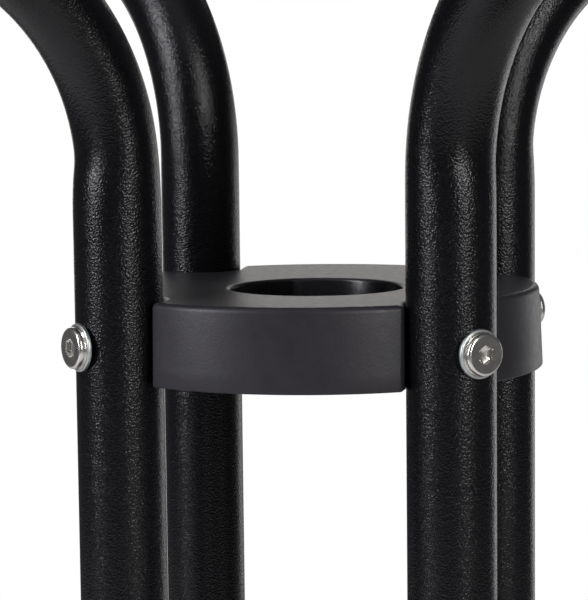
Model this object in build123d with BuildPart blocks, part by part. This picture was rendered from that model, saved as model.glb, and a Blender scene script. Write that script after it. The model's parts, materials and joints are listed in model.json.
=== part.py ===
"""Four-tube umbrella stand: bent steel legs bolted round two moulded ring hubs, with a top hoop and a drip tray.

Units are millimetres. The origin is on the floor, on the vertical centre line; +Z is up and -Y is the front.
"""

import os
from math import cos, radians, sin

from build123d import *

os.makedirs("parts", exist_ok=True)

# Leg tubes: each one is a C with a straight middle and two arms that point outwards.
TUBE_RADIUS = 11.0
TUBE_WALL = 1.2
TUBE_BORE = TUBE_RADIUS - TUBE_WALL
COLUMN_RADIUS = 59.0  # from the stand's centre line to each tube's
BEND_RADIUS = 63.0  # of the tube's centre line
ARM_REACH = 150.0  # from the stand's centre line to a tube's cut end
LOWER_ARM_Z = 30.0
UPPER_ARM_Z = 550.0
LEG_ANGLES = {"front_right": -45, "front_left": -135, "rear_left": 135, "rear_right": 45}

# Hubs: one moulding, used twice.
BEND_TO_SCREW = 42.0  # straight tube between a bend and the nearer hub screw
UPPER_SCREW_Z = UPPER_ARM_Z - BEND_RADIUS - BEND_TO_SCREW
LOWER_SCREW_Z = LOWER_ARM_Z + BEND_RADIUS + BEND_TO_SCREW
HUB_BOTTOM = -9.5  # from the screw line down to the hub's open underside
HUB_TOP = 11.4  # from the screw line up to the hub's outer top edge
HUB_DISH = 1.3  # fall of the top's shallow cone from the outer edge to the centre line
HUB_RADIUS_TOP = 58.2
HUB_RADIUS_BOTTOM = 59.1
HUB_HOLE_RADIUS = 22.75
HUB_EDGE = 1.7  # rounding of the outer top edge
HUB_CORNER = 3.5  # rounding of the upright corners beside the tubes
HUB_HOLE_EDGE = 1.0
HUB_SKIN = 2.8
SADDLE_RADIUS = TUBE_RADIUS + 0.15
BOSS_RADIUS = 7.5
HUB_POCKET_CORNER = 1.0
RIB_WIDTH = 2.4
LOBE_ANGLES = (0, 90, 180, 270)
INSERT_DEPTH = 13.0
INSERT_RADIUS = 4.4
INSERT_SPACE = 1.0  # left behind an insert when it is pressed home

# Fasteners: M6 low-head socket screws on flat washers.
SHANK_RADIUS = 2.95
HEAD_RADIUS = 5.2
HEAD_HEIGHT = 1.7
HEAD_EDGE = 0.55
COLLAR_RADIUS = 5.45
COLLAR_HEIGHT = 0.3
SOCKET_ACROSS_FLATS = 4.0
SOCKET_DEPTH = 1.3
CLEARANCE_RADIUS = 3.3
WASHER_RADIUS = 6.0
WASHER_THICKNESS = 1.0
THREAD_RADIUS = 3.0
HUB_SCREW_LENGTH = 35.0
HOOP_SCREW_LENGTH = 16.0

# Hoop: a rolled flat band on the four upper arms.
PLUG_FLANGE = 2.0
HOOP_INNER = ARM_REACH + PLUG_FLANGE
HOOP_THICKNESS = 3.0
HOOP_OUTER = HOOP_INNER + HOOP_THICKNESS
HOOP_HEIGHT = 25.0
HOOP_EDGE = 0.8
PLUG_DEPTH = 18.0
PLUG_RADIUS = TUBE_BORE - 0.1
PLUG_INSERT_RADIUS = 4.0
PLUG_INSERT_DEPTH = 12.0
PLUG_INSERT_INSET = 0.6  # behind the flange's curved face

# Drip tray: the frame stands inside its rim and lifts off.
TRAY_UNDERSIDE = 1.5
TRAY_FLOOR = 4.0
TRAY_TOP = 22.0
TRAY_RADIUS = 170.0
TRAY_FLOOR_RADIUS = 158.0
TRAY_FLARE = 5.5  # how far the wall leans out over its height
TRAY_WALL = 2.2
TRAY_LIP_DROP = 4.0
TRAY_EDGE = 0.8
TRAY_COVE = 3.0
TRAY_RIB_RADII = (36.0, 66.0, 96.0)
TRAY_RIB_HEIGHT = 1.6
TRAY_RIB_WIDTH = 3.0
BUMPER_RADIUS = 8.0
BUMPER_CIRCLE = 130.0
BUMPER_RECESS = 0.8

# Feet: a cap on each lower arm with a soft pad under it.
CAP_RADIUS = 13.2
CAP_BORE = TUBE_RADIUS + 0.05
CAP_LENGTH = 24.0
CAP_END = 3.0
CAP_EDGE = 2.0
POST_RADIUS = 12.0
POST_FROM_END = 11.4  # from the tube's cut end in to the post's centre line
PAD_HEIGHT = 3.0
PAD_RADIUS = 10.5
PAD_SPIGOT_RADIUS = 3.5
PAD_SPIGOT_HEIGHT = 6.0


def radial_plane(angle, radius, height):
    """A plane at that angle and radius whose normal points away from the stand's centre line."""
    a = radians(angle)
    return Plane(
        origin=(radius * cos(a), radius * sin(a), height),
        x_dir=(0, 0, 1),
        z_dir=(cos(a), sin(a), 0),
    )


def leg_plane(angle):
    """The upright plane that one leg is bent in: its x runs outwards and its y up."""
    a = radians(angle)
    return Plane(origin=(0, 0, 0), x_dir=(cos(a), sin(a), 0), z_dir=(sin(a), -cos(a), 0))


def all_round(radius, height):
    """The four radial planes, one at each leg."""
    return [radial_plane(angle, radius, height) for angle in LEG_ANGLES.values()]


def save(builder, name):
    """Labels a finished piece and writes its STEP file."""
    builder.part.label = name
    export_step(builder.part, f"parts/{name}.step")


def leg_tube(angle):
    """One bent tube with its two pairs of screw holes."""
    with BuildPart() as tube:
        with BuildLine(leg_plane(angle)) as route:
            FilletPolyline(
                (ARM_REACH, LOWER_ARM_Z),
                (COLUMN_RADIUS, LOWER_ARM_Z),
                (COLUMN_RADIUS, UPPER_ARM_Z),
                (ARM_REACH, UPPER_ARM_Z),
                radius=BEND_RADIUS,
            )
        with BuildSketch(Plane(origin=route.line @ 0, z_dir=route.line % 0)):
            Circle(TUBE_RADIUS)
            Circle(TUBE_BORE, mode=Mode.SUBTRACT)
        sweep()
        for height in (LOWER_SCREW_Z, UPPER_SCREW_Z):
            with BuildSketch(radial_plane(angle, COLUMN_RADIUS, height)):
                Circle(CLEARANCE_RADIUS)
            extrude(amount=2 * TUBE_RADIUS, both=True, mode=Mode.SUBTRACT)
    return tube


def from_axis(point):
    """The point's distance from the stand's centre line."""
    return (point.X**2 + point.Y**2) ** 0.5


def hub_outline(radius):
    """The hub's plan: a disc with four half-round saddles and rounded corners beside them."""
    columns = [radial_plane(angle, COLUMN_RADIUS, 0).origin for angle in LEG_ANGLES.values()]
    with BuildSketch() as outline:
        Circle(radius)
        with Locations(*[(place.X, place.Y) for place in columns]):
            Circle(SADDLE_RADIUS, mode=Mode.SUBTRACT)
        corners = outline.vertices().filter_by(lambda v: abs(abs(v.X) - abs(v.Y)) > 1)
        fillet(corners, HUB_CORNER)
    return outline.sketch


def hub(screw_z):
    """The moulded ring that the four tubes are bolted to, hollow and ribbed underneath."""
    top = screw_z + HUB_TOP
    bottom = screw_z + HUB_BOTTOM
    columns = [radial_plane(angle, COLUMN_RADIUS, bottom).origin for angle in LEG_ANGLES.values()]
    with BuildPart() as ring:
        with BuildSketch(Plane.XY.offset(bottom)):
            add(hub_outline(HUB_RADIUS_BOTTOM))
        with BuildSketch(Plane.XY.offset(top + HUB_DISH / 2)):
            add(hub_outline(HUB_RADIUS_TOP))
        loft(ruled=True)
        with BuildSketch(Plane.XZ):
            with BuildLine():
                Polyline(
                    (0, top - HUB_DISH),
                    (2 * HUB_RADIUS_TOP, top + HUB_DISH),
                    (0, top + HUB_DISH),
                    close=True,
                )
            make_face()
        revolve(axis=Axis.Z, mode=Mode.SUBTRACT)
        top_edges = ring.edges().filter_by(lambda e: (e @ 0.5).Z > top - HUB_DISH)
        fillet(top_edges, HUB_EDGE)
        with BuildSketch(Plane.XY.offset(bottom)):
            Circle(HUB_HOLE_RADIUS)
        extrude(amount=HUB_TOP - HUB_BOTTOM, mode=Mode.SUBTRACT)
        top_edges = ring.edges().filter_by(lambda e: (e @ 0.5).Z > top - HUB_DISH)
        fillet(top_edges.filter_by(lambda e: from_axis(e @ 0.5) < HUB_HOLE_RADIUS + HUB_HOLE_EDGE), HUB_HOLE_EDGE)
        with BuildSketch(Plane.XY.offset(bottom)) as pocket:
            Circle(HUB_RADIUS_TOP - HUB_SKIN)
            Circle(HUB_HOLE_RADIUS + HUB_SKIN, mode=Mode.SUBTRACT)
            with Locations(*[(place.X, place.Y) for place in columns]):
                Circle(SADDLE_RADIUS + HUB_SKIN, mode=Mode.SUBTRACT)
            for angle in LEG_ANGLES.values():
                with Locations(Location((0, 0, 0), (0, 0, angle))):
                    Rectangle(
                        COLUMN_RADIUS, 2 * BOSS_RADIUS, align=(Align.MIN, Align.CENTER), mode=Mode.SUBTRACT
                    )
            for angle in LOBE_ANGLES:
                with Locations(Location((0, 0, 0), (0, 0, angle))):
                    Rectangle(
                        COLUMN_RADIUS, RIB_WIDTH, align=(Align.MIN, Align.CENTER), mode=Mode.SUBTRACT
                    )
            fillet(pocket.vertices(), HUB_POCKET_CORNER)
        extrude(amount=HUB_TOP - HUB_BOTTOM - HUB_DISH - HUB_SKIN, mode=Mode.SUBTRACT)
        for plane in all_round(COLUMN_RADIUS - SADDLE_RADIUS - INSERT_DEPTH - INSERT_SPACE, screw_z):
            with BuildSketch(plane):
                Circle(INSERT_RADIUS)
            extrude(amount=INSERT_DEPTH + INSERT_SPACE + HUB_SKIN, mode=Mode.SUBTRACT)
    return ring


def screws(radius, height, length):
    """Four socket screws whose heads seat at that radius, each pointing at the centre line."""
    with BuildPart() as four:
        for plane in all_round(radius, height):
            with BuildSketch(plane):
                Circle(SHANK_RADIUS)
            extrude(amount=-length)
            with BuildSketch(plane):
                Circle(COLLAR_RADIUS)
            extrude(amount=COLLAR_HEIGHT)
            with BuildSketch(plane.offset(COLLAR_HEIGHT)):
                Circle(HEAD_RADIUS)
            extrude(amount=HEAD_HEIGHT)
        faces = four.faces().filter_by(lambda f: from_axis(f.center()) > radius + COLLAR_HEIGHT + HEAD_HEIGHT - 0.01)
        fillet(faces.edges(), HEAD_EDGE)
        for plane in all_round(radius + COLLAR_HEIGHT + HEAD_HEIGHT, height):
            with BuildSketch(plane):
                RegularPolygon(SOCKET_ACROSS_FLATS / 2, 6, major_radius=False)
            extrude(amount=-SOCKET_DEPTH, mode=Mode.SUBTRACT)
    return four


def rings(radius, height, outer, inner, thickness):
    """Four flat rings or sleeves standing outwards from that radius."""
    with BuildPart() as four:
        for plane in all_round(radius, height):
            with BuildSketch(plane):
                Circle(outer)
                Circle(inner, mode=Mode.SUBTRACT)
            extrude(amount=thickness)
    return four


def hoop_plug(angle):
    """The stopper in one upper arm, with a flange shaped to the hoop."""
    with BuildPart() as plug:
        with BuildSketch(radial_plane(angle, ARM_REACH, UPPER_ARM_Z)):
            Circle(PLUG_RADIUS)
        extrude(amount=-PLUG_DEPTH)
        with BuildSketch(radial_plane(angle, ARM_REACH, UPPER_ARM_Z)):
            Circle(TUBE_RADIUS)
        extrude(amount=PLUG_FLANGE + HOOP_THICKNESS)
        with BuildSketch(Plane.XY.offset(UPPER_ARM_Z - TUBE_RADIUS)):
            Circle(2 * HOOP_INNER)
            Circle(HOOP_INNER, mode=Mode.SUBTRACT)
        extrude(amount=2 * TUBE_RADIUS, mode=Mode.SUBTRACT)
        with BuildSketch(radial_plane(angle, HOOP_INNER, UPPER_ARM_Z)):
            Circle(PLUG_INSERT_RADIUS)
        extrude(amount=-PLUG_INSERT_DEPTH - PLUG_INSERT_INSET, mode=Mode.SUBTRACT)
        with BuildSketch(radial_plane(angle, HOOP_INNER, UPPER_ARM_Z)):
            Circle(CLEARANCE_RADIUS)
        extrude(amount=-PLUG_DEPTH, mode=Mode.SUBTRACT)
    return plug


def foot_cap(angle):
    """The moulded cap on one lower arm, with the post that carries its pad."""
    arm = radial_plane(angle, ARM_REACH - CAP_LENGTH, LOWER_ARM_Z)
    post = radial_plane(angle, ARM_REACH - POST_FROM_END, 0).origin
    with BuildPart() as cap:
        with BuildSketch(arm):
            Circle(CAP_RADIUS)
        extrude(amount=CAP_LENGTH + CAP_END)
        with BuildSketch(Plane.XY.offset(TRAY_FLOOR + PAD_HEIGHT)):
            with Locations((post.X, post.Y)):
                Circle(POST_RADIUS)
        extrude(amount=LOWER_ARM_Z - TRAY_FLOOR - PAD_HEIGHT)
        end = cap.faces().filter_by(lambda f: from_axis(f.center()) > ARM_REACH + CAP_END - 0.01)
        fillet(end.edges(), CAP_EDGE)
        chamfer(cap.faces().sort_by(Axis.Z)[0].edges(), HEAD_EDGE)
        with BuildSketch(arm):
            Circle(CAP_BORE)
        extrude(amount=CAP_LENGTH, mode=Mode.SUBTRACT)
        with BuildSketch(Plane.XY.offset(TRAY_FLOOR + PAD_HEIGHT)):
            with Locations((post.X, post.Y)):
                Circle(PAD_SPIGOT_RADIUS)
        extrude(amount=PAD_SPIGOT_HEIGHT, mode=Mode.SUBTRACT)
    return cap


def foot_pad(angle):
    """The soft pad pressed into one foot's post."""
    post = radial_plane(angle, ARM_REACH - POST_FROM_END, 0).origin
    with BuildPart() as pad:
        with BuildSketch(Plane.XY.offset(TRAY_FLOOR)):
            with Locations((post.X, post.Y)):
                Circle(PAD_RADIUS)
        extrude(amount=PAD_HEIGHT)
        chamfer(pad.faces().sort_by(Axis.Z)[0].edges(), HEAD_EDGE)
        with BuildSketch(Plane.XY.offset(TRAY_FLOOR + PAD_HEIGHT)):
            with Locations((post.X, post.Y)):
                Circle(PAD_SPIGOT_RADIUS)
        extrude(amount=PAD_SPIGOT_HEIGHT)
    return pad


for leg, leg_angle in LEG_ANGLES.items():
    save(leg_tube(leg_angle), f"tube_{leg}")
    save(hoop_plug(leg_angle), f"hoop_plug_{leg}")
    save(foot_cap(leg_angle), f"foot_cap_{leg}")
    save(foot_pad(leg_angle), f"foot_pad_{leg}")

WASHER_SEAT = COLUMN_RADIUS + TUBE_RADIUS
INSERT_SEAT = COLUMN_RADIUS - SADDLE_RADIUS - INSERT_DEPTH
for place, screw_height in {"upper": UPPER_SCREW_Z, "lower": LOWER_SCREW_Z}.items():
    save(hub(screw_height), f"{place}_hub")
    save(
        rings(WASHER_SEAT, screw_height, WASHER_RADIUS, CLEARANCE_RADIUS, WASHER_THICKNESS),
        f"{place}_hub_washers",
    )
    save(screws(WASHER_SEAT + WASHER_THICKNESS, screw_height, HUB_SCREW_LENGTH), f"{place}_hub_screws")
    save(
        rings(INSERT_SEAT, screw_height, INSERT_RADIUS, THREAD_RADIUS, INSERT_DEPTH),
        f"{place}_hub_inserts",
    )

with BuildPart() as top_hoop:
    with BuildSketch(Plane.XY.offset(UPPER_ARM_Z - HOOP_HEIGHT / 2)):
        Circle(HOOP_OUTER)
        Circle(HOOP_INNER, mode=Mode.SUBTRACT)
    extrude(amount=HOOP_HEIGHT)
    fillet(top_hoop.edges().filter_by(GeomType.CIRCLE), HOOP_EDGE)
    for hole_plane in all_round(HOOP_INNER, UPPER_ARM_Z):
        with BuildSketch(hole_plane):
            Circle(CLEARANCE_RADIUS)
        extrude(amount=2 * HOOP_THICKNESS, both=True, mode=Mode.SUBTRACT)
save(top_hoop, "top_hoop")
save(
    rings(HOOP_OUTER, UPPER_ARM_Z, WASHER_RADIUS, CLEARANCE_RADIUS, WASHER_THICKNESS),
    "hoop_washers",
)
save(screws(HOOP_OUTER + WASHER_THICKNESS, UPPER_ARM_Z, HOOP_SCREW_LENGTH), "hoop_screws")
save(
    rings(
        HOOP_INNER - PLUG_INSERT_INSET - PLUG_INSERT_DEPTH,
        UPPER_ARM_Z,
        PLUG_INSERT_RADIUS,
        THREAD_RADIUS,
        PLUG_INSERT_DEPTH,
    ),
    "hoop_plug_inserts",
)

with BuildPart() as drip_tray:
    with BuildSketch(Plane.XZ) as tray_profile:
        with BuildLine():
            Polyline(
                (0, TRAY_UNDERSIDE),
                (TRAY_FLOOR_RADIUS + TRAY_WALL, TRAY_UNDERSIDE),
                (TRAY_FLOOR_RADIUS + TRAY_WALL + TRAY_FLARE, TRAY_TOP - TRAY_WALL),
                (TRAY_RADIUS - TRAY_WALL, TRAY_TOP - TRAY_WALL),
                (TRAY_RADIUS - TRAY_WALL, TRAY_TOP - TRAY_LIP_DROP),
                (TRAY_RADIUS, TRAY_TOP - TRAY_LIP_DROP),
                (TRAY_RADIUS, TRAY_TOP),
                (TRAY_FLOOR_RADIUS + TRAY_FLARE, TRAY_TOP),
                (TRAY_FLOOR_RADIUS, TRAY_FLOOR),
                (0, TRAY_FLOOR),
                close=True,
            )
        make_face()
        rim_corners = tray_profile.vertices().filter_by(lambda v: v.X > TRAY_FLOOR_RADIUS + TRAY_WALL + 1)
        fillet(rim_corners, TRAY_EDGE)
        coves = tray_profile.vertices().filter_by(lambda v: TRAY_FLOOR_RADIUS - 1 < v.X < TRAY_FLOOR_RADIUS + 3)
        fillet(coves, TRAY_COVE)
    revolve(axis=Axis.Z)
    with BuildSketch(Plane.XZ):
        for rib_radius in TRAY_RIB_RADII:
            with Locations((rib_radius, TRAY_FLOOR)):
                Rectangle(TRAY_RIB_WIDTH, 2 * TRAY_RIB_HEIGHT)
    revolve(axis=Axis.Z)
    with BuildSketch(Plane.XY.offset(TRAY_UNDERSIDE)):
        with PolarLocations(BUMPER_CIRCLE, len(LEG_ANGLES)):
            Circle(BUMPER_RADIUS)
    extrude(amount=BUMPER_RECESS, mode=Mode.SUBTRACT)
save(drip_tray, "drip_tray")

with BuildPart() as tray_bumpers:
    with BuildSketch():
        with PolarLocations(BUMPER_CIRCLE, len(LEG_ANGLES)):
            Circle(BUMPER_RADIUS)
    extrude(amount=TRAY_UNDERSIDE + BUMPER_RECESS)
    chamfer(tray_bumpers.edges().group_by(Axis.Z)[0], HEAD_EDGE)
save(tray_bumpers, "tray_bumpers")
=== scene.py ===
"""Looks of the four-tube umbrella stand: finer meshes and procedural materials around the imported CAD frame.

Lengths are metres in the frame's own axes: +Z up, the floor at 0, the front towards -Y.
"""

import json
from math import acos, asin, atan2, cos, exp, hypot, pi, radians, sin, sqrt, tan

import bmesh
import bpy
from mathutils import Matrix, Vector

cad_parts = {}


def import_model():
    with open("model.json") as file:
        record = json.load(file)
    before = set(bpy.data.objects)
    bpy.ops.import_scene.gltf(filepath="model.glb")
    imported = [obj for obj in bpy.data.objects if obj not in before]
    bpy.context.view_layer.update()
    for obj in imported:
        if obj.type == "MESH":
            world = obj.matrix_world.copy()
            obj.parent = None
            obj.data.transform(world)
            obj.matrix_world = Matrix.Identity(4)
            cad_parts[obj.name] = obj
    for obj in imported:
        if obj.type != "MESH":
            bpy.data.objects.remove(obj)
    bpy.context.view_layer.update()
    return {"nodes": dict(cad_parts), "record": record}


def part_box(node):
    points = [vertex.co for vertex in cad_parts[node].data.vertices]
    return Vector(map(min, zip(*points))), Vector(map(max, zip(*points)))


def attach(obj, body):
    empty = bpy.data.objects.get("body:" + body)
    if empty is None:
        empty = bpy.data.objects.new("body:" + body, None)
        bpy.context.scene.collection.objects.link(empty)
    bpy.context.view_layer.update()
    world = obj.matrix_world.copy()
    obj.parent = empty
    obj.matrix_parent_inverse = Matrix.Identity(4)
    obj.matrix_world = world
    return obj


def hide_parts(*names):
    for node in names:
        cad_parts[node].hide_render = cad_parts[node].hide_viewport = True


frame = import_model()

MM = 0.001
TAU = 2 * pi

# Driving sizes, the same as the frame's.
TUBE_RADIUS = 11 * MM
TUBE_BORE = 9.8 * MM
COLUMN_RADIUS = 59 * MM  # from the stand's centre line to a tube's
BEND_RADIUS = 63 * MM  # of a tube's centre line
ARM_REACH = 150 * MM  # from the stand's centre line to a tube's cut end
HUB_HOLE = 22.75 * MM  # radius
LEGS = {"front_right": -45, "front_left": -135, "rear_left": 135, "rear_right": 45}  # degrees round +Z

# Points round a turned piece.
SEGMENTS = 96
SMALL_SEGMENTS = 64
WIDE_SEGMENTS = 256


def screw_height(node):
    """The height of the screw line that a node of screws or washers lies on."""
    low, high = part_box(node)
    return (low.z + high.z) / 2


lower_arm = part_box("tube_front_right")[0].z + TUBE_RADIUS
upper_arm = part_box("tube_front_right")[1].z - TUBE_RADIUS
SCREW_LINES = {"upper": screw_height("upper_hub_screws"), "lower": screw_height("lower_hub_screws")}


# ---------------------------------------------------------------- mesh helpers


def rounded(corners, steps=5):
    """A closed outline of (x, y, radius) corners, each turned on an arc of that radius."""
    outline = []
    count = len(corners)
    for i, (x, y, radius) in enumerate(corners):
        here = Vector((x, y))
        before = (Vector(corners[i - 1][:2]) - here).normalized()
        after = (Vector(corners[(i + 1) % count][:2]) - here).normalized()
        if radius <= 0:
            outline.append((x, y))
            continue
        half = acos(max(-1, min(1, before.dot(after)))) / 2
        centre = here + (before + after).normalized() * radius / sin(half)
        start = here + before * radius / tan(half) - centre
        end = here + after * radius / tan(half) - centre
        sweep = start.angle_signed(end)
        for k in range(steps + 1):
            turned = start.copy()
            turned.rotate(Matrix.Rotation(-sweep * k / steps, 2))
            outline.append(tuple(centre + turned))
    return outline


def join_rings(bm, rings, closed):
    """Quads between rings of vertices; a ring of one vertex is a pole."""
    pairs = list(zip(rings, rings[1:]))
    if closed:
        pairs.append((rings[-1], rings[0]))
    for a, b in pairs:
        count = max(len(a), len(b))
        for i in range(count):
            j = (i + 1) % count
            corners = [a[i % len(a)], a[j % len(a)], b[j % len(b)], b[i % len(b)]]
            bm.faces.new(list(dict.fromkeys(corners)))


def lathe(bm, profile, segments, place=None, closed=False, shape=None):
    """Turns (radius, height) points about local Z; shape bends a ring's radius by its index and angle."""
    place = place or Matrix.Identity(4)
    rings = []
    for index, (radius, height) in enumerate(profile):
        if radius < 1e-9:
            rings.append([bm.verts.new(place @ Vector((0, 0, height)))])
            continue
        ring = []
        for k in range(segments):
            angle = TAU * k / segments
            r = shape(index, angle, radius) if shape else radius
            ring.append(bm.verts.new(place @ Vector((r * cos(angle), r * sin(angle), height))))
        rings.append(ring)
    join_rings(bm, rings, closed)


def outwards(angle, radius, height):
    """A place whose local Z points away from the stand's centre line."""
    turn = Matrix.Rotation(radians(angle), 4, "Z") @ Matrix.Rotation(pi / 2, 4, "Y")
    return Matrix.Translation((radius * cos(radians(angle)), radius * sin(radians(angle)), height)) @ turn


def piece(name, bm, body, slot, *nodes, sharp=35, surface=None):
    """Makes an object of bm that rides on a body and stands for CAD nodes.

    Its material is the slot's, or surface where one slot has two looks.
    """
    bmesh.ops.recalc_face_normals(bm, faces=bm.faces)
    mesh = bpy.data.meshes.new(name)
    bm.to_mesh(mesh)
    bm.free()
    mesh.shade_smooth()
    mesh.set_sharp_from_angle(angle=radians(sharp))
    mesh.materials.append(MATERIALS[surface or slot])
    made = bpy.data.objects.new(name, mesh)
    bpy.context.scene.collection.objects.link(made)
    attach(made, body)
    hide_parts(*nodes)


# ---------------------------------------------------------------- materials


NOISE_RANGE = (0.3, 0.7)  # where nearly all of a noise texture's values lie


class Shader:
    """A Principled material and short ways to add nodes to it."""

    def __init__(self, name, **sockets):
        self.material = bpy.data.materials.new(name)
        self.material.use_nodes = True
        self.tree = self.material.node_tree
        self.bsdf = self.tree.nodes["Principled BSDF"]
        for socket, value in sockets.items():
            self.bsdf.inputs[socket.replace("_", " ")].default_value = value
        self.place = self.node("ShaderNodeTexCoord").outputs["Object"]

    def node(self, kind, inputs=None, **settings):
        made = self.tree.nodes.new(kind)
        for key, value in settings.items():
            setattr(made, key, value)
        for key, value in (inputs or {}).items():
            if isinstance(value, bpy.types.NodeSocket):
                self.tree.links.new(value, made.inputs[key])
            else:
                made.inputs[key].default_value = value
        return made

    def noise(self, scale, detail=2.0, roughness=0.5):
        inputs = {"Vector": self.place, "Scale": scale, "Detail": detail, "Roughness": roughness}
        return self.node("ShaderNodeTexNoise", inputs).outputs["Fac"]

    def cells(self, scale, smoothness):
        inputs = {"Vector": self.place, "Scale": scale, "Smoothness": smoothness}
        return self.node("ShaderNodeTexVoronoi", inputs, feature="SMOOTH_F1").outputs["Distance"]

    def math(self, operation, a, b):
        return self.node("ShaderNodeMath", {0: a, 1: b}, operation=operation).outputs[0]

    def spread(self, value, low, high, to_low, to_high):
        inputs = {"Value": value, 1: low, 2: high, 3: to_low, 4: to_high}
        return self.node("ShaderNodeMapRange", inputs).outputs[0]

    def uneven(self, scale, detail, low, high):
        """A value that wanders between low and high."""
        return self.spread(self.noise(scale, detail), *NOISE_RANGE, low, high)

    def tint(self, value, dark, light):
        mix = self.node("ShaderNodeMix", data_type="RGBA")
        self.tree.links.new(value, mix.inputs[0])
        mix.inputs[6].default_value = (*dark, 1)
        mix.inputs[7].default_value = (*light, 1)
        return mix.outputs[2]

    def bump(self, height, strength, depth):
        inputs = {"Height": height, "Strength": strength, "Distance": depth}
        return self.node("ShaderNodeBump", inputs).outputs["Normal"]

    def set(self, **links):
        """Links values to the Principled node's sockets and returns the finished material."""
        for socket, value in links.items():
            self.tree.links.new(value, self.bsdf.inputs[socket.replace("_", " ")])
        return self.material


def powder_coat():
    """Black powder coat with a fine orange-peel grain."""
    s = Shader("powder_coat", Specular_IOR_Level=0.36)
    ripple = s.math("MULTIPLY", s.cells(1900, 0.4), 0.9)
    grain = s.math("ADD", ripple, s.noise(2000, 2.0, 0.6))
    colour = s.tint(s.noise(600, 3.0), (0.0016, 0.0015, 0.0024), (0.0034, 0.0032, 0.0047))
    rough = s.uneven(900, 2.0, 0.20, 0.28)
    return s.set(Base_Color=colour, Roughness=rough, Normal=s.bump(grain, 1.0, 0.088 * MM))


HOLE_PAINTED_SHADE = 0.3  # painted shade: the hole's colour as a share of the hub's, darkened for the shade inside the hole
HOLE_PAINTED_SHADE_EDGE = 0.4 * MM  # how far past the hole's wall its painted shade fades
HOLE_ROUGHNESS = 0.6  # the hole's roughness as a share of the hub's


def hub_plastic():
    """Satin moulded nylon with a fine spark grain, glossier in its hole, where painted shade darkens its
    colour.
    """
    s = Shader("hub_plastic", Specular_IOR_Level=0.34)
    plan = s.node("ShaderNodeVectorMath", {0: s.place, 1: (1, 1, 0)}, operation="MULTIPLY").outputs[0]
    reach = s.node("ShaderNodeVectorMath", {0: plan}, operation="LENGTH").outputs["Value"]
    # Painted shade: inside the hole the colour falls to a share of the hub's, standing for the shade there;
    # the roughness follows the same mask.
    hole_painted_shade = s.spread(reach, HUB_HOLE, HUB_HOLE + HOLE_PAINTED_SHADE_EDGE, HOLE_PAINTED_SHADE, 1.0)
    normal = s.bump(s.noise(1800, 3.0, 0.6), 0.8, 0.05 * MM)
    mottle_and_painted_shade = s.math("MULTIPLY", hole_painted_shade, s.uneven(150, 4.0, 0.85, 1.05))
    colour = s.tint(mottle_and_painted_shade, (0.0, 0.0, 0.0), (0.0228, 0.0214, 0.0262))
    share = s.spread(hole_painted_shade, HOLE_PAINTED_SHADE, 1.0, HOLE_ROUGHNESS, 1.0)
    rough = s.math("MULTIPLY", s.uneven(500, 3.0, 0.38, 0.45), share)
    return s.set(Base_Color=colour, Roughness=rough, Normal=normal)


def zinc_plate(name, dark, light, low, high):
    """Zinc plate, slightly uneven, of a roughness between low and high."""
    s = Shader(name, Metallic=1.0)
    normal = s.bump(s.noise(1400, 2.0, 0.5), 0.02, 0.02 * MM)
    colour = s.tint(s.noise(350, 2.0), dark, light)
    rough = s.uneven(500, 2.0, low, high)
    return s.set(Base_Color=colour, Roughness=rough, Normal=normal)


def insert_brass():
    """Machined brass."""
    s = Shader("insert_brass", Metallic=1.0)
    colour = s.tint(s.noise(600, 3.0), (0.50, 0.36, 0.16), (0.68, 0.52, 0.26))
    rough = s.uneven(500, 3.0, 0.25, 0.4)
    return s.set(Base_Color=colour, Roughness=rough)


def moulded(name, dark, light, low, high, grain):
    """A plastic or rubber with a pebbled mould grain."""
    s = Shader(name, Specular_IOR_Level=0.5)
    normal = s.bump(s.cells(grain, 0.6), 0.35, 0.04 * MM)
    colour = s.tint(s.noise(220, 4.0), dark, light)
    rough = s.uneven(300, 3.0, low, high)
    return s.set(Base_Color=colour, Roughness=rough, Normal=normal)


MATERIALS = {
    "powder_coat": powder_coat(),
    "hub_plastic": hub_plastic(),
    "zinc_plate": zinc_plate("zinc_plate", (0.72, 0.70, 0.655), (0.86, 0.835, 0.79), 0.20, 0.27),
    "zinc_washer": zinc_plate("zinc_washer", (0.52, 0.57, 0.555), (0.63, 0.68, 0.66), 0.38, 0.46),
    "insert_brass": insert_brass(),
    "cap_plastic": moulded("cap_plastic", (0.012,) * 3, (0.018,) * 3, 0.42, 0.55, 1600),
    "pad_rubber": moulded("pad_rubber", (0.010,) * 3, (0.016,) * 3, 0.65, 0.8, 900),
    "tray_plastic": moulded("tray_plastic", (0.011, 0.011, 0.012), (0.017, 0.017, 0.019), 0.38, 0.5, 1300),
}
for subpart in frame["record"]["subparts"]:
    node = frame["nodes"][subpart["node"]]
    node.data.materials.clear()
    node.data.materials.append(MATERIALS[subpart["material_slot"]])


# ---------------------------------------------------------------- leg tubes

BEND_STEPS = 44
STRAIGHT_STEPS = 24
CLAMP_STATIONS = (2 * MM, 4 * MM, 6 * MM, 9 * MM)  # extra stations where the straight meets a bend
BEND_LEAD = 8 * MM  # how far before a bend's start its flattening begins
BEND_EASE = 16 * MM  # how far along the tube the flattening takes to come and go
FLATTENED_HOLLOW_SIDE = 0.12  # share of the radius that a bend loses on its hollow side
FLATTENED_OUTER_SIDE = 0.05
BEND_SPREAD = 0.02  # share of the radius that it gains across
CLAMP_MARK = 0.22 * MM  # the raised mark that the bending tool leaves where a bend starts
CLAMP_MARK_LENGTH = 3.5 * MM


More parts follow.
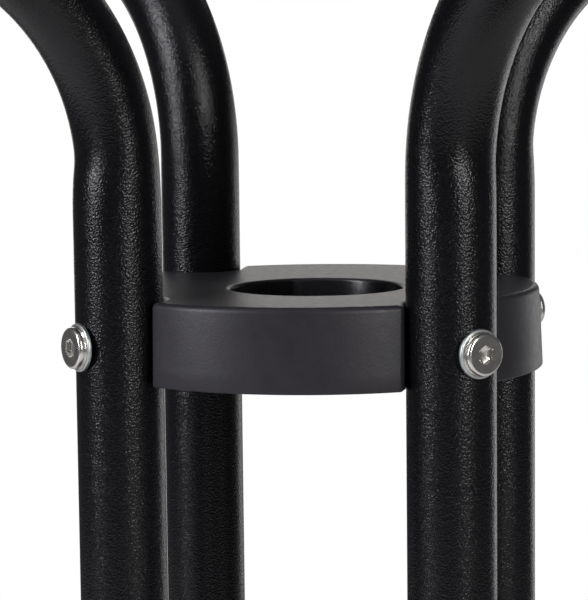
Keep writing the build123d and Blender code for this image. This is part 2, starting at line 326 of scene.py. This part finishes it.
def leg_route():
    """Stations of a leg's centre line: (radius, height, heading in degrees, flattening, clamp mark)."""
    bend_end = COLUMN_RADIUS + BEND_RADIUS
    low_centre = lower_arm + BEND_RADIUS
    high_centre = upper_arm - BEND_RADIUS

    def bend(side, centre):
        points = []
        for i in range(BEND_STEPS + 1):
            angle = 90 * i / BEND_STEPS
            a = radians(angle)
            points.append((
                bend_end - BEND_RADIUS * cos(a),
                centre + side * BEND_RADIUS * sin(a),
                90 - side * angle,
                flattening(min(a, pi / 2 - a) * BEND_RADIUS),
                mark(a * BEND_RADIUS),
            ))
        return points

    def mark(distance):
        return exp(-(distance / CLAMP_MARK_LENGTH) ** 2)

    def flattening(distance):
        share = min(1, max(0, (distance + BEND_LEAD) / BEND_EASE))
        return share * share * (3 - 2 * share)

    straight = high_centre - low_centre
    along = list(CLAMP_STATIONS)
    along += [straight * i / STRAIGHT_STEPS for i in range(1, STRAIGHT_STEPS)]
    along += [straight - station for station in CLAMP_STATIONS[::-1]]
    arm_start = bend_end + BEND_LEAD
    route = [(ARM_REACH, lower_arm, 180, 0, 0), (arm_start, lower_arm, 180, 0, 0)]
    route += bend(-1, low_centre)[::-1]
    for distance in along:
        end = min(distance, straight - distance)
        route.append((COLUMN_RADIUS, low_centre + distance, 90, flattening(-end), mark(end)))
    route += bend(1, high_centre)
    return route + [(arm_start, upper_arm, 0, 0, 0), (ARM_REACH, upper_arm, 0, 0, 0)]


def leg_piece(name, angle):
    """A tube swept along the leg's route, with its bore."""
    bm = bmesh.new()
    out = Vector((cos(radians(angle)), sin(radians(angle)), 0))
    side = Vector((-out.y, out.x, 0))
    up = Vector((0, 0, 1))
    outer, inner = [], []
    for radius, height, heading, bent, marked in leg_route():
        h = radians(heading)
        hollow = out * sin(h) - up * cos(h)  # towards the bend's centre
        centre = out * radius + up * height
        for rings, r in ((outer, TUBE_RADIUS), (inner, TUBE_BORE)):
            ring = []
            for k in range(SEGMENTS):
                c, t = cos(TAU * k / SEGMENTS), sin(TAU * k / SEGMENTS)
                flat = (FLATTENED_HOLLOW_SIDE * (1 + c) + FLATTENED_OUTER_SIDE * (1 - c)) / 2
                raised = CLAMP_MARK * marked * max(0, c) ** 2
                point = centre + hollow * c * (r * (1 - flat * bent) + raised)
                ring.append(bm.verts.new(point + side * r * t * (1 + BEND_SPREAD * bent)))
            rings.append(ring)
    join_rings(bm, outer + inner[::-1], closed=True)
    piece(f"leg_{name}", bm, "frame", "powder_coat", f"tube_{name}")


for leg, leg_angle in LEGS.items():
    leg_piece(leg, leg_angle)


# ---------------------------------------------------------------- hubs

HUB_LOW = -9.5 * MM  # from the screw line to the underside
HUB_HIGH = 11.4 * MM  # from the screw line to the top's outer edge
HUB_DISH = 1.3 * MM  # fall of the top from its outer edge to the centre line
HUB_RADIUS_LOW = 59.1 * MM
HUB_RADIUS_HIGH = 58.2 * MM
HUB_HOLE_EDGE = 1.0 * MM
HUB_EDGE = 1.6 * MM
HUB_CORNER = 0.9 * MM  # of a lobe's upright edges, finer than the frame's 3.5 mm
HUB_FOOT_EDGE = 0.3 * MM
HUB_SKIN = 2.8 * MM
BOSS_RADIUS = 7.5 * MM  # of the solid round an insert
HUB_RIB_HALF = 1.2 * MM
SADDLE_RADIUS = 11.15 * MM
MOUTH_START = Vector((53.5, 9.4)) * MM  # a saddle's flared mouth, with its tube on the X axis
MOUTH_END = Vector((59.5, 15.8)) * MM
LEAST_CORNER = 0.04 * MM  # left of a corner's rounding where the inset has used it up
CORNER_STEPS = 6
SADDLE_STEPS = 30
LOBE_STEPS = 36
POCKET_ARC_STEPS = 8
POCKET_STEP = 0.01  # radians that keep a pocket's two outer arcs from sharing a point
FOOT_EDGE_STEPS = 3
EDGE_STEPS = 8
HOLE_EDGE_STEPS = 5
TOP_GUARD = 0.15 * MM  # how far inside its rounded edge the flat of the top gets a ring of its own
TOP_SHARES = (0.0, 0.1, 0.5, 0.9, 0.985, 1.0)  # rings across the top, from its edge to the hole


def hub_outline(radius, inset):
    """Points round the hub's plan, moved inwards by inset; as many for any radius and inset."""
    # The rounded corner between the mouth's flare and the outer wall.
    corner = max(HUB_CORNER - inset, LEAST_CORNER)
    outer = radius - inset
    along = (MOUTH_END - MOUTH_START).normalized()
    inwards = Vector((-along.y, along.x))
    base = MOUTH_START + inwards * (inset + corner)
    lead = base.dot(along)
    centre = base + along * (sqrt(lead * lead - base.dot(base) + (outer - corner) ** 2) - lead)
    first = atan2(-inwards.y, -inwards.x)
    last = atan2(centre.y, centre.x)
    turned = [first + (last - first) * i / CORNER_STEPS for i in range(CORNER_STEPS + 1)]
    # Where the flare leaves the saddle round the tube.
    column = Vector((COLUMN_RADIUS, 0))
    start = MOUTH_START + inwards * inset - column
    lead = start.dot(along)
    join = start + along * (sqrt(lead * lead - start.dot(start) + (SADDLE_RADIUS + inset) ** 2) - lead)
    side = [column + join] + [centre + Vector((cos(a), sin(a))) * corner for a in turned]
    side.insert(1, (side[0] + side[1]) / 2)
    # The saddle, then the lobe's outer wall as far as the next saddle.
    opening = atan2(join.y, join.x)
    saddle = [opening + (TAU - 2 * opening) * i / SADDLE_STEPS for i in range(SADDLE_STEPS - 1, 0, -1)]
    saddle = [column + Vector((cos(a), sin(a))) * join.length for a in saddle]
    edge = atan2(side[-1].y, side[-1].x)
    lobe = [edge + (pi / 2 - 2 * edge) * i / LOBE_STEPS for i in range(1, LOBE_STEPS)]
    lobe = [Vector((cos(a), sin(a))) * outer for a in lobe]
    quarter = [Vector((p.x, -p.y)) for p in side[::-1]] + saddle + side + lobe
    outline = []
    for angle in sorted(LEGS.values()):
        turn = Matrix.Rotation(radians(angle), 2)
        outline += [turn @ p for p in quarter]
    return outline


def hub_top(distance):
    """Height of the hub's dished top above the screw line, at that distance from the centre line."""
    return HUB_HIGH - HUB_DISH * (1 - distance / HUB_RADIUS_HIGH)


def pocket_outline():
    """One of the eight hollows under the hub, in its saddle's own axes."""
    inner = HUB_HOLE + HUB_SKIN
    outer = HUB_RADIUS_HIGH - HUB_SKIN
    round_saddle = SADDLE_RADIUS + HUB_SKIN
    meet = (outer ** 2 - round_saddle ** 2 + COLUMN_RADIUS ** 2) / (2 * COLUMN_RADIUS)
    high = sqrt(outer ** 2 - meet ** 2)

    def swing(radius, start, end, x=0.0):
        turned = [start + (end - start) * i / POCKET_ARC_STEPS for i in range(POCKET_ARC_STEPS + 1)]
        return [Vector((x + radius * cos(a), radius * sin(a))) for a in turned]

    boss = pi - asin(BOSS_RADIUS / round_saddle)
    points = swing(round_saddle, boss, atan2(high, meet - COLUMN_RADIUS), COLUMN_RADIUS)
    points += swing(outer, atan2(high, meet) + POCKET_STEP, pi / 4 - asin(HUB_RIB_HALF / outer))
    points += swing(inner, pi / 4 - asin(HUB_RIB_HALF / inner), asin(BOSS_RADIUS / inner))
    return points


def hub_piece(name, line):
    """The ring hub round a screw line: rings from its foot over its top into the hole, then its underside."""
    bm = bmesh.new()

    def ring(points, heights):
        return [bm.verts.new((p.x, p.y, line + z)) for p, z in zip(points, heights)]

    def taper(height):
        share = (height - HUB_LOW) / (HUB_HIGH - HUB_LOW)
        return HUB_RADIUS_LOW + (HUB_RADIUS_HIGH - HUB_RADIUS_LOW) * share

    rings = []
    for step in range(FOOT_EDGE_STEPS + 1):
        a = radians(90 * step / FOOT_EDGE_STEPS)
        height = HUB_LOW + HUB_FOOT_EDGE * (1 - cos(a))
        points = hub_outline(taper(height), HUB_FOOT_EDGE * (1 - sin(a)))
        rings.append(ring(points, [height] * len(points)))
    foot = rings[0]
    for height in (HUB_LOW * 0.5, 0.0, HUB_HIGH * 0.5):
        points = hub_outline(taper(height), 0.0)
        rings.append(ring(points, [height] * len(points)))
    for step in range(EDGE_STEPS + 1):
        a = radians(90 * step / EDGE_STEPS)
        points = hub_outline(HUB_RADIUS_HIGH, HUB_EDGE * (1 - cos(a)))
        rings.append(ring(points, [hub_top(p.length) - HUB_EDGE * (1 - sin(a)) for p in points]))
    guard = hub_outline(HUB_RADIUS_HIGH, HUB_EDGE + TOP_GUARD)
    for share in TOP_SHARES:
        points = [p.lerp(p.normalized() * (HUB_HOLE + HUB_HOLE_EDGE), share) for p in guard]
        rings.append(ring(points, [hub_top(p.length) for p in points]))
    rim = hub_top(HUB_HOLE + HUB_HOLE_EDGE)
    for step in range(1, HOLE_EDGE_STEPS + 1):
        a = radians(90 * step / HOLE_EDGE_STEPS)
        points = [p.normalized() * (HUB_HOLE + HUB_HOLE_EDGE * (1 - sin(a))) for p in guard]
        rings.append(ring(points, [rim - HUB_HOLE_EDGE * (1 - cos(a))] * len(points)))
    for height, more in ((0.0, 0.0), (HUB_LOW + HUB_FOOT_EDGE, 0.0), (HUB_LOW, HUB_FOOT_EDGE)):
        points = [p.normalized() * (HUB_HOLE + more) for p in guard]
        rings.append(ring(points, [height] * len(points)))
    join_rings(bm, rings, closed=False)
    # The underside is one flat between the outline, the hole and the pockets' mouths.
    loops = [foot, rings[-1]]
    ceiling = HUB_HIGH - HUB_DISH - HUB_SKIN
    for angle in LEGS.values():
        turn = Matrix.Rotation(radians(angle), 2)
        for mirror in (1, -1):
            points = [turn @ Vector((p.x, mirror * p.y)) for p in pocket_outline()]
            mouth = ring(points, [HUB_LOW] * len(points))
            roof = ring(points, [ceiling] * len(points))
            join_rings(bm, [mouth, roof], closed=False)
            bm.faces.new(roof)
            loops.append(mouth)
    edges = []
    for loop in loops:
        for a, b in zip(loop, loop[1:] + loop[:1]):
            edges.append(bm.edges.get((a, b)) or bm.edges.new((a, b)))
    bmesh.ops.triangle_fill(bm, use_beauty=True, use_dissolve=False, edges=edges)
    piece(f"{name}_ring", bm, "frame", "hub_plastic", f"{name}_hub", sharp=50)


for hub_name, hub_line in SCREW_LINES.items():
    hub_piece(hub_name, hub_line)


# ---------------------------------------------------------------- screws and washers

WASHER_SEAT = COLUMN_RADIUS + TUBE_RADIUS
WASHER_RADIUS = 6 * MM
WASHER_THICKNESS = 1.0 * MM
WASHER_HOLE = 3.3 * MM
SHANK_RADIUS = 2.95 * MM
SHANK_CHAMFER = 0.6 * MM
COLLAR_RADIUS = 5.45 * MM
COLLAR_HEIGHT = 0.3 * MM
COLLAR_BEVEL = 0.08 * MM
HEAD_RADIUS = 5.2 * MM
HEAD_HEIGHT = 1.7 * MM
HEAD_FOOT = ((0.12, 0.02), (0.02, 0.25), (0.0, 0.4))  # inset and rise of the wall at the collar, in mm
HEAD_EDGE = 0.8 * MM
HEAD_EDGE_STEPS = 6
FACE_RING = 0.1 * MM  # from the head's rounded edge in to the face's first ring
SOCKET_FLAT = 2.0 * MM  # from the screw's axis to one flat
SOCKET_MOUTH = 2.2 * MM
SOCKET_ROUND = 3.2 * MM  # inside it the face turns from round to six-sided
SOCKET_CHAMFER = 0.25 * MM
SOCKET_DEPTH = 1.3 * MM
SOCKET_CONE = 30  # degrees that its drilled floor falls
SOCKET_TURNS = (1, -8, 33, 21)  # degrees, one for each leg
HUB_SCREW_LENGTH = 35 * MM
HOOP_SCREW_LENGTH = 16 * MM
HOOP_OUTER = 155 * MM


def screw_piece(name, seat, line, length, *nodes):
    """Four socket screws, one at each leg, whose collars stand on the seat radius at the height of line."""
    bm = bmesh.new()
    top = COLLAR_HEIGHT + HEAD_HEIGHT
    shank = [(0, -length), (SHANK_RADIUS - SHANK_CHAMFER, -length)]
    shank += [(SHANK_RADIUS, SHANK_CHAMFER - length), (SHANK_RADIUS, 0.0)]
    bevel = COLLAR_BEVEL
    collar = [(COLLAR_RADIUS - bevel, 0.0), (COLLAR_RADIUS, bevel), (COLLAR_RADIUS, COLLAR_HEIGHT - bevel)]
    collar += [(COLLAR_RADIUS - bevel, COLLAR_HEIGHT)]
    head = [(HEAD_RADIUS - inset * MM, COLLAR_HEIGHT + rise * MM) for inset, rise in HEAD_FOOT]
    for step in range(HEAD_EDGE_STEPS + 1):
        a = radians(90 * step / HEAD_EDGE_STEPS)
        head.append((HEAD_RADIUS - HEAD_EDGE * (1 - cos(a)), top - HEAD_EDGE * (1 - sin(a))))
    face = [(HEAD_RADIUS - HEAD_EDGE - FACE_RING, top), (SOCKET_ROUND, top)]
    profile = shank + collar + head + face
    sockets = len(profile)
    profile += [(SOCKET_MOUTH, top), (SOCKET_FLAT, top - SOCKET_CHAMFER), (SOCKET_FLAT, top - SOCKET_DEPTH)]
    profile += [(0, top - SOCKET_DEPTH - SOCKET_FLAT * tan(radians(SOCKET_CONE)))]
    for (leg, angle), socket_turn in zip(LEGS.items(), SOCKET_TURNS):

        def hexagon(index, turned, radius, offset=radians(socket_turn)):
            if index < sockets:
                return radius
            return radius / cos((turned - offset) % (pi / 3) - pi / 6)

        lathe(bm, profile, SEGMENTS, outwards(angle, seat, line), shape=hexagon)
    piece(name, bm, "frame", "zinc_plate", *nodes, sharp=38)


def washer_piece(name, seat, line, *nodes):
    """Four flat washers, one at each leg."""
    bm = bmesh.new()
    profile = rounded([
        (WASHER_HOLE, 0.0, 0.1 * MM),
        (WASHER_RADIUS, 0.0, 0.15 * MM),
        (WASHER_RADIUS, WASHER_THICKNESS, 0.4 * MM),
        (WASHER_HOLE, WASHER_THICKNESS, 0.1 * MM),
    ])
    for angle in LEGS.values():
        lathe(bm, profile, SEGMENTS, outwards(angle, seat, line), closed=True)
    piece(name, bm, "frame", "zinc_plate", *nodes, sharp=50, surface="zinc_washer")


for hub_name, hub_line in SCREW_LINES.items():
    head_seat = WASHER_SEAT + WASHER_THICKNESS
    screw_piece(f"{hub_name}_screws", head_seat, hub_line, HUB_SCREW_LENGTH, f"{hub_name}_hub_screws")
    washer_piece(f"{hub_name}_washers", WASHER_SEAT, hub_line, f"{hub_name}_hub_washers")
screw_piece("band_screws", HOOP_OUTER + WASHER_THICKNESS, upper_arm, HOOP_SCREW_LENGTH, "hoop_screws")
washer_piece("band_washers", HOOP_OUTER, upper_arm, "hoop_washers")


# ---------------------------------------------------------------- hoop and its plugs

HOOP_INNER = 152 * MM
HOOP_HEIGHT = 25 * MM
HOOP_EDGE = 0.8 * MM
HOOP_SEAT = HOOP_INNER - 0.02 * MM  # the round that the plugs' ends are cut to
PLUG_RADIUS = 9.7 * MM
PLUG_DEPTH = 18 * MM
PLUG_FLANGE = 2 * MM
PLUG_INSERT = 4.0 * MM  # radius of the pocket that holds the threaded insert
INSERT_TOP = 1.4 * MM
INSERT_LENGTH = 12 * MM

hoop = bmesh.new()
low, high = upper_arm - HOOP_HEIGHT / 2, upper_arm + HOOP_HEIGHT / 2
band = [(HOOP_INNER, low), (HOOP_OUTER, low), (HOOP_OUTER, high), (HOOP_INNER, high)]
lathe(hoop, rounded([(x, z, HOOP_EDGE) for x, z in band]), WIDE_SEGMENTS, closed=True)
piece("band_hoop", hoop, "frame", "powder_coat", "top_hoop")


def plug_piece(name, angle):
    """A plug in an upper arm's end, cut to the hoop's inside."""
    bm = bmesh.new()
    profile = rounded([
        (WASHER_HOLE, -PLUG_DEPTH, 0.2 * MM),
        (PLUG_RADIUS, -PLUG_DEPTH, 0.8 * MM),
        (PLUG_RADIUS, 0.0, 0.0),
        (TUBE_RADIUS, 0.0, 0.2 * MM),
        (TUBE_RADIUS, PLUG_FLANGE, 0.3 * MM),
        (WASHER_HOLE, PLUG_FLANGE, 0.2 * MM),
        (WASHER_HOLE, INSERT_TOP, 0.0),
        (PLUG_INSERT, INSERT_TOP, 0.0),
        (PLUG_INSERT, INSERT_TOP - INSERT_LENGTH, 0.0),
        (WASHER_HOLE, INSERT_TOP - INSERT_LENGTH, 0.0),
    ])
    lathe(bm, profile, SEGMENTS, outwards(angle, ARM_REACH, upper_arm), closed=True)
    # The flange's face follows the hoop's inside.
    for vert in bm.verts:
        reach = hypot(vert.co.x, vert.co.y)
        if reach > HOOP_SEAT:
            scale = HOOP_SEAT / reach
            vert.co.x *= scale
            vert.co.y *= scale
    piece(name, bm, "frame", "cap_plastic", f"hoop_{name}")


for leg, leg_angle in LEGS.items():
    plug_piece(f"plug_{leg}", leg_angle)


# ---------------------------------------------------------------- feet

CAP_RADIUS = 13.2 * MM
CAP_BORE = 11.05 * MM
CAP_LENGTH = 24 * MM
CAP_END = 3 * MM
CAP_EDGE = 2 * MM
POST_RADIUS = 12 * MM
POST_REACH = ARM_REACH - 11.4 * MM  # from the stand's centre line to a post's axis
TRAY_FLOOR = 4 * MM
PAD_RADIUS = 10.5 * MM
PAD_TOP = TRAY_FLOOR + 3 * MM
PEG_RADIUS = 3.5 * MM  # the peg that holds a pad in its post
PEG_TOP = PAD_TOP + 6 * MM
SMALL_EDGE = 0.5 * MM


def upright(angle, radius, height):
    """A place on the stand's floor plan whose local Z points up and whose X points outwards."""
    a = radians(angle)
    return Matrix.Translation((radius * cos(a), radius * sin(a), height)) @ Matrix.Rotation(a, 4, "Z")


def foot_piece(leg, angle):
    """A cap on a lower arm's end with its post, and the pad under the post."""
    bm = bmesh.new()
    sleeve = rounded([
        (0.0, 0.0, 0.0),
        (CAP_BORE, 0.0, 0.0),
        (CAP_BORE, -CAP_LENGTH, 0.3 * MM),
        (CAP_RADIUS, -CAP_LENGTH, 0.8 * MM),
        (CAP_RADIUS, CAP_END, CAP_EDGE),
        (0.0, CAP_END, 0.0),
    ])
    lathe(bm, sleeve, SEGMENTS, outwards(angle, ARM_REACH, lower_arm))
    post = rounded([
        (0.0, PAD_TOP, 0.0),
        (POST_RADIUS, PAD_TOP, SMALL_EDGE),
        (POST_RADIUS, lower_arm, 0.0),
        (0.0, lower_arm, 0.0),
    ])
    start = len(bm.verts)
    place = upright(angle, POST_REACH, 0.0)
    lathe(bm, post, SEGMENTS, place)
    bm.verts.ensure_lookup_table()
    # The post's top follows the round of the cap's sleeve.
    back = place.inverted()
    in_wall = (CAP_RADIUS + CAP_BORE) / 2
    for vert in bm.verts[start:]:
        local = back @ vert.co
        if local.z > PEG_TOP:
            vert.co.z = lower_arm - sqrt(in_wall ** 2 - local.y ** 2)
    piece(f"cap_{leg}", bm, "frame", "cap_plastic", f"foot_cap_{leg}", sharp=45)
    bm = bmesh.new()
    pad = rounded([
        (0.0, TRAY_FLOOR, 0.0),
        (PAD_RADIUS, TRAY_FLOOR, SMALL_EDGE),
        (PAD_RADIUS, PAD_TOP, 0.2 * MM),
        (PEG_RADIUS, PAD_TOP, 0.0),
        (PEG_RADIUS, PEG_TOP, 0.3 * MM),
        (0.0, PEG_TOP, 0.0),
    ])
    lathe(bm, pad, SMALL_SEGMENTS, place)
    piece(f"pad_{leg}", bm, "frame", "pad_rubber", f"foot_pad_{leg}")


for leg, leg_angle in LEGS.items():
    foot_piece(leg, leg_angle)


# ---------------------------------------------------------------- drip tray

TRAY_UNDERSIDE = 1.5 * MM
TRAY_TOP = 22 * MM
TRAY_RADIUS = 169.98 * MM  # a hair inside the frame's 170, so that no point leaves its box
TRAY_FLOOR_RADIUS = 158 * MM
TRAY_FLARE = 5.5 * MM  # how far the wall leans out over its height
TRAY_WALL = 2.2 * MM
TRAY_LIP_DROP = 4 * MM
TRAY_RIBS = (36 * MM, 66 * MM, 96 * MM)  # radii of the raised rings
TRAY_RIB_HALF = 1.5 * MM
TRAY_RIB_HEIGHT = 1.6 * MM
BUMPER_RADIUS = 8 * MM
BUMPER_CIRCLE = 130 * MM
BUMPER_TOP = 2.3 * MM
BUMPER_COUNT = 4

tray_corners = [
    (0.0, TRAY_UNDERSIDE, 0.0),
    (TRAY_FLOOR_RADIUS + TRAY_WALL, TRAY_UNDERSIDE, 3 * MM),
    (TRAY_FLOOR_RADIUS + TRAY_WALL + TRAY_FLARE, TRAY_TOP - TRAY_WALL, 0.6 * MM),
    (TRAY_RADIUS - TRAY_WALL, TRAY_TOP - TRAY_WALL, 0.6 * MM),
    (TRAY_RADIUS - TRAY_WALL, TRAY_TOP - TRAY_LIP_DROP, 0.5 * MM),
    (TRAY_RADIUS, TRAY_TOP - TRAY_LIP_DROP, 0.5 * MM),
    (TRAY_RADIUS, TRAY_TOP, 1.4 * MM),
    (TRAY_FLOOR_RADIUS + TRAY_FLARE, TRAY_TOP, 0.9 * MM),
    (TRAY_FLOOR_RADIUS, TRAY_FLOOR, 3 * MM),
]
for rib in TRAY_RIBS[::-1]:
    tray_corners += [
        (rib + TRAY_RIB_HALF, TRAY_FLOOR, 0.5 * MM),
        (rib + TRAY_RIB_HALF, TRAY_FLOOR + TRAY_RIB_HEIGHT, 0.7 * MM),
        (rib - TRAY_RIB_HALF, TRAY_FLOOR + TRAY_RIB_HEIGHT, 0.7 * MM),
        (rib - TRAY_RIB_HALF, TRAY_FLOOR, 0.5 * MM),
    ]
tray_corners.append((0.0, TRAY_FLOOR, 0.0))
tray = bmesh.new()
lathe(tray, rounded(tray_corners), WIDE_SEGMENTS)
piece("saucer", tray, "tray", "tray_plastic", "drip_tray", sharp=50)

bumpers = bmesh.new()
for bumper_index in range(BUMPER_COUNT):
    bumper = [
        (0.0, 0.0, 0.0),
        (BUMPER_RADIUS, 0.0, SMALL_EDGE),
        (BUMPER_RADIUS, BUMPER_TOP, 0.0),
        (0.0, BUMPER_TOP, 0.0),
    ]
    place = upright(360 / BUMPER_COUNT * bumper_index, BUMPER_CIRCLE, 0.0)
    lathe(bumpers, rounded(bumper), SMALL_SEGMENTS, place)
piece("tray_feet", bumpers, "tray", "pad_rubber", "tray_bumpers")


# ---------------------------------------------------------------- stage, camera and lights

FLOOR_RINGS = (0.0, 0.5, 1.2)
STUDIO_GREY = (0.078, 0.078, 0.082)
SCREW_LINE = SCREW_LINES["upper"]
CAMERA_PLACE = (0.124726, -0.607760, 0.073501 + SCREW_LINE)
CAMERA_HEADING = 12.1446
CAMERA_TILT = -6.1054
CAMERA_ROLL = -0.6462
CAMERA_LENS = 142.53


def floor():
    """A round of studio floor, which isn't part of the stand."""
    s = Shader("studio_floor", Roughness=0.9)
    colour = s.tint(s.noise(3, 2.0), (0.74, 0.74, 0.74), (0.79, 0.79, 0.79))
    bm = bmesh.new()
    lathe(bm, [(radius, 0) for radius in FLOOR_RINGS], SEGMENTS)
    mesh = bpy.data.meshes.new("studio_floor")
    bm.to_mesh(mesh)
    bm.free()
    mesh.materials.append(s.set(Base_Color=colour))
    made = bpy.data.objects.new("studio_floor", mesh)
    bpy.context.scene.collection.objects.link(made)


def soft_light(name, azimuth, distance, height, size, watts, colour=(1, 1, 1), aim=SCREW_LINE):
    """An area light, size (width, length), at an azimuth in degrees, facing the centre line at height aim."""
    data = bpy.data.lights.new(name, "AREA")
    data.shape = "RECTANGLE"
    data.size, data.size_y = size
    data.energy = watts
    data.color = colour
    made = bpy.data.objects.new(name, data)
    a = radians(azimuth)
    made.location = (distance * cos(a), distance * sin(a), height)
    towards = Vector((0, 0, aim)) - made.location
    made.rotation_euler = towards.to_track_quat("-Z", "Y").to_euler()
    made.visible_camera = False
    bpy.context.scene.collection.objects.link(made)


def world():
    """White where the camera sees it, dim for everything it lights or is mirrored in."""
    made = bpy.data.worlds.new("studio")
    made.use_nodes = True
    tree = made.node_tree
    back = tree.nodes["Background"]
    rays = tree.nodes.new("ShaderNodeLightPath")
    mix = tree.nodes.new("ShaderNodeMix")
    mix.data_type = "RGBA"
    mix.inputs[6].default_value = (*STUDIO_GREY, 1)
    mix.inputs[7].default_value = (1.0, 1.0, 1.0, 1)
    tree.links.new(rays.outputs["Is Camera Ray"], mix.inputs[0])
    tree.links.new(mix.outputs[2], back.inputs["Color"])
    bpy.context.scene.world = made


floor()
world()
bpy.context.scene.view_settings.view_transform = "Standard"
# Each light: azimuth, distance and height first.
soft_light("left_strip", -139, 1.4, 1.08, size=(0.12, 1.2), watts=21.5, colour=(0.96, 0.94, 1.0))
soft_light("front_strip", -44, 1.6, 1.04, size=(0.14, 1.1), watts=16, colour=(1.0, 0.97, 0.96))
soft_light("back_panel", 105, 1.8, 0.80, size=(1.3, 1.2), watts=6, colour=(1.0, 0.96, 0.93))
soft_light("rear_panel", 66, 1.6, 0.28, size=(0.60, 0.65), watts=1.7)
soft_light("top_box", -90, 0.5, 1.9, size=(1.2, 1.2), watts=1.5, aim=0.3)

camera_data = bpy.data.cameras.new("camera")
camera_data.lens = CAMERA_LENS
camera = bpy.data.objects.new("camera", camera_data)
turn = Matrix.Rotation(radians(CAMERA_HEADING), 4, "Z")
tilt = Matrix.Rotation(radians(90 + CAMERA_TILT), 4, "X")
roll = Matrix.Rotation(radians(CAMERA_ROLL), 4, "Z")
camera.matrix_world = Matrix.Translation(CAMERA_PLACE) @ turn @ tilt @ roll
bpy.context.scene.collection.objects.link(camera)
bpy.context.scene.camera = camera
